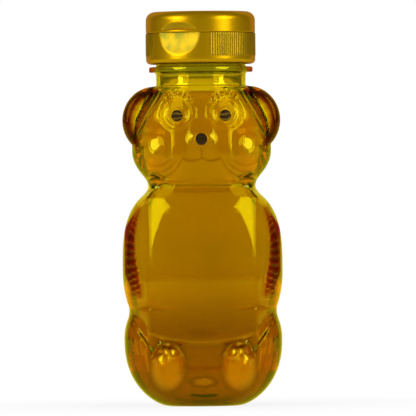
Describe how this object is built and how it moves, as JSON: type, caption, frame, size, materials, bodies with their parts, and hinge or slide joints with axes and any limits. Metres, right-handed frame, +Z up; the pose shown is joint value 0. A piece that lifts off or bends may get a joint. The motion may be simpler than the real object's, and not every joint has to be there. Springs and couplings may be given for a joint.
{
  "type": "honey bear bottle",
  "caption": "Bear-shaped squeeze bottle for honey, with a screw neck and a snap-top closure that unscrews and whose lid flips open.",
  "frame": {"origin": "middle of the footprint's bounding box, on the surface that the bottle stands on", "axes": "+Z up along the bottle, the bear looks along -Y, +X on the viewer's right"},
  "size_m": [0.0624, 0.05, 0.1535],
  "materials": {
    "amber_pet": "clear amber blow-moulded PET, glossy",
    "gold_cap": "gold tinted polypropylene with a metallic sheen, satin gloss",
    "dark_ink": "dark brown printed spot, semi-gloss",
    "foam_seal": "off-white foamed polyethylene"
  },
  "bodies": {
    "bottle": {"bottle": "amber_pet", "left_eye": "dark_ink", "right_eye": "dark_ink", "nose_tip": "dark_ink"},
    "seal": {"seal_liner": "foam_seal"},
    "cap": {"cap_base": "gold_cap", "living_hinge": "gold_cap"},
    "lid": {"cap_lid": "gold_cap"}
  },
  "joints": [
    {"name": "cap_lift", "type": "slide", "parent": "bottle", "child": "seal", "axis": [0, 0, 1], "range_m": [0, 0.0128]},
    {"name": "cap_turn", "type": "hinge", "parent": "seal", "child": "cap", "pos_m": [0, 0, 0.139], "axis": [0, 0, 1], "range_deg": [0, 1080]},
    {"name": "lid_hinge", "type": "hinge", "parent": "cap", "child": "lid", "pos_m": [0.0089, 0.01962, 0.1452], "axis": [-0.9107, 0.4131, 0], "range_deg": [0, 165], "deforming": ["living_hinge"]}
  ],
  "couplings": [
    {"joint": "cap_lift", "follows": "cap_turn", "m_per_rad": 0.0006737}
  ]
}
